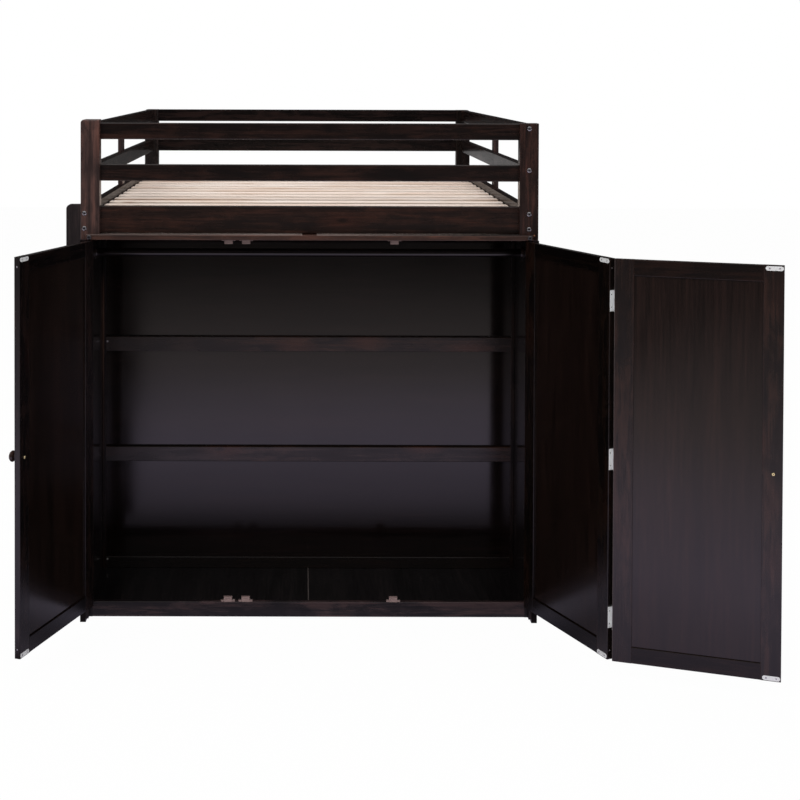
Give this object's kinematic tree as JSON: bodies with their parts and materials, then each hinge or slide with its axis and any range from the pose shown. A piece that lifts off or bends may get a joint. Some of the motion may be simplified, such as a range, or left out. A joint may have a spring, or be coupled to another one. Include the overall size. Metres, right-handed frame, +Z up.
{
  "type": "loft bed",
  "caption": "Raised bed frame with guard rails all round, a slatted base, a side ladder and a wardrobe under one end, closed by a hinged door and a folding door.",
  "frame": {"origin": "on the floor, under the middle of the bed's outline over its posts", "axes": "+X across the bed towards the side with the folding door, +Y along the bed from the wardrobe end to the rear end, +Z up"},
  "size_m": [2.1799, 2.6189, 1.593],
  "materials": {
    "dark_wood": "dark espresso stain under satin lacquer",
    "panel_board": "espresso lacquer, half gloss",
    "pine": "plain sawn pine, no lacquer",
    "zinc_steel": "zinc plated",
    "brown_plastic": "moulded, matt",
    "dark_metal": "dark nickel"
  },
  "bodies": {
    "frame": {"front_post_left": "dark_wood", "front_post_right": "dark_wood", "rear_post_left": "dark_wood", "rear_post_right": "dark_wood", "front_bed_rail": "dark_wood", "rear_bed_rail": "dark_wood", "left_bed_rail": "dark_wood", "right_bed_rail": "dark_wood", "front_guard_top": "dark_wood", "front_guard_mid": "dark_wood", "rear_guard_top": "dark_wood", "rear_guard_mid": "dark_wood", "left_guard_top": "dark_wood", "left_guard_mid": "dark_wood", "right_guard_top": "dark_wood", "right_guard_mid": "dark_wood", "middle_uprights": "dark_wood", "rear_stretcher": "dark_wood", "slat_ledges": "dark_wood", "centre_beam": "dark_wood", "slats": "pine", "ladder_stiles": "dark_wood", "ladder_treads": "dark_wood", "frame_bolts": "dark_metal", "wardrobe_side_left": "dark_wood", "wardrobe_side_right": "dark_wood", "wardrobe_front_stiles": "dark_wood", "wardrobe_bottom_rail": "dark_wood", "wardrobe_top": "dark_wood", "floor_panels": "panel_board", "floor_cleats": "dark_wood", "back_panel_top": "panel_board", "back_panel_middle": "panel_board", "back_panel_bottom": "panel_board", "back_rails": "dark_wood", "corner_strips": "dark_wood", "hanging_rod": "dark_wood", "rod_sockets": "dark_wood", "magnetic_catches": "brown_plastic", "frame_hinge_leaves": "zinc_steel", "frame_hinge_pins": "zinc_steel"},
    "left_door": {"left_door_stiles": "dark_wood", "left_door_rails": "dark_wood", "left_door_panel": "panel_board", "left_door_hinge_leaves": "zinc_steel", "left_door_strikes": "zinc_steel", "left_door_knob": "dark_wood"},
    "inner_leaf": {"inner_leaf_stiles": "dark_wood", "inner_leaf_rails": "dark_wood", "inner_leaf_panel": "panel_board", "inner_leaf_hinge_leaves": "zinc_steel", "inner_leaf_strikes": "zinc_steel", "fold_hinge_pins": "zinc_steel"},
    "outer_leaf": {"outer_leaf_stiles": "dark_wood", "outer_leaf_rails": "dark_wood", "outer_leaf_panel": "panel_board", "outer_leaf_hinge_leaves": "zinc_steel", "outer_leaf_strikes": "zinc_steel", "outer_leaf_knob": "dark_wood"}
  },
  "joints": [
    {"name": "left_door_hinge", "type": "hinge", "parent": "frame", "child": "left_door", "pos_m": [-0.697, -1.0196, 0.633], "axis": [0, 0, -1], "range_deg": [-109, 61]},
    {"name": "inner_leaf_hinge", "type": "hinge", "parent": "frame", "child": "inner_leaf", "pos_m": [0.697, -1.0196, 0.633], "axis": [0, 0, 1], "range_deg": [-112.5, 57.5]},
    {"name": "fold_hinge", "type": "hinge", "parent": "inner_leaf", "child": "outer_leaf", "pos_m": [0.87457, -1.44828, 0.633], "axis": [0, 0, 1], "range_deg": [-48.5, 116.5]}
  ]
}
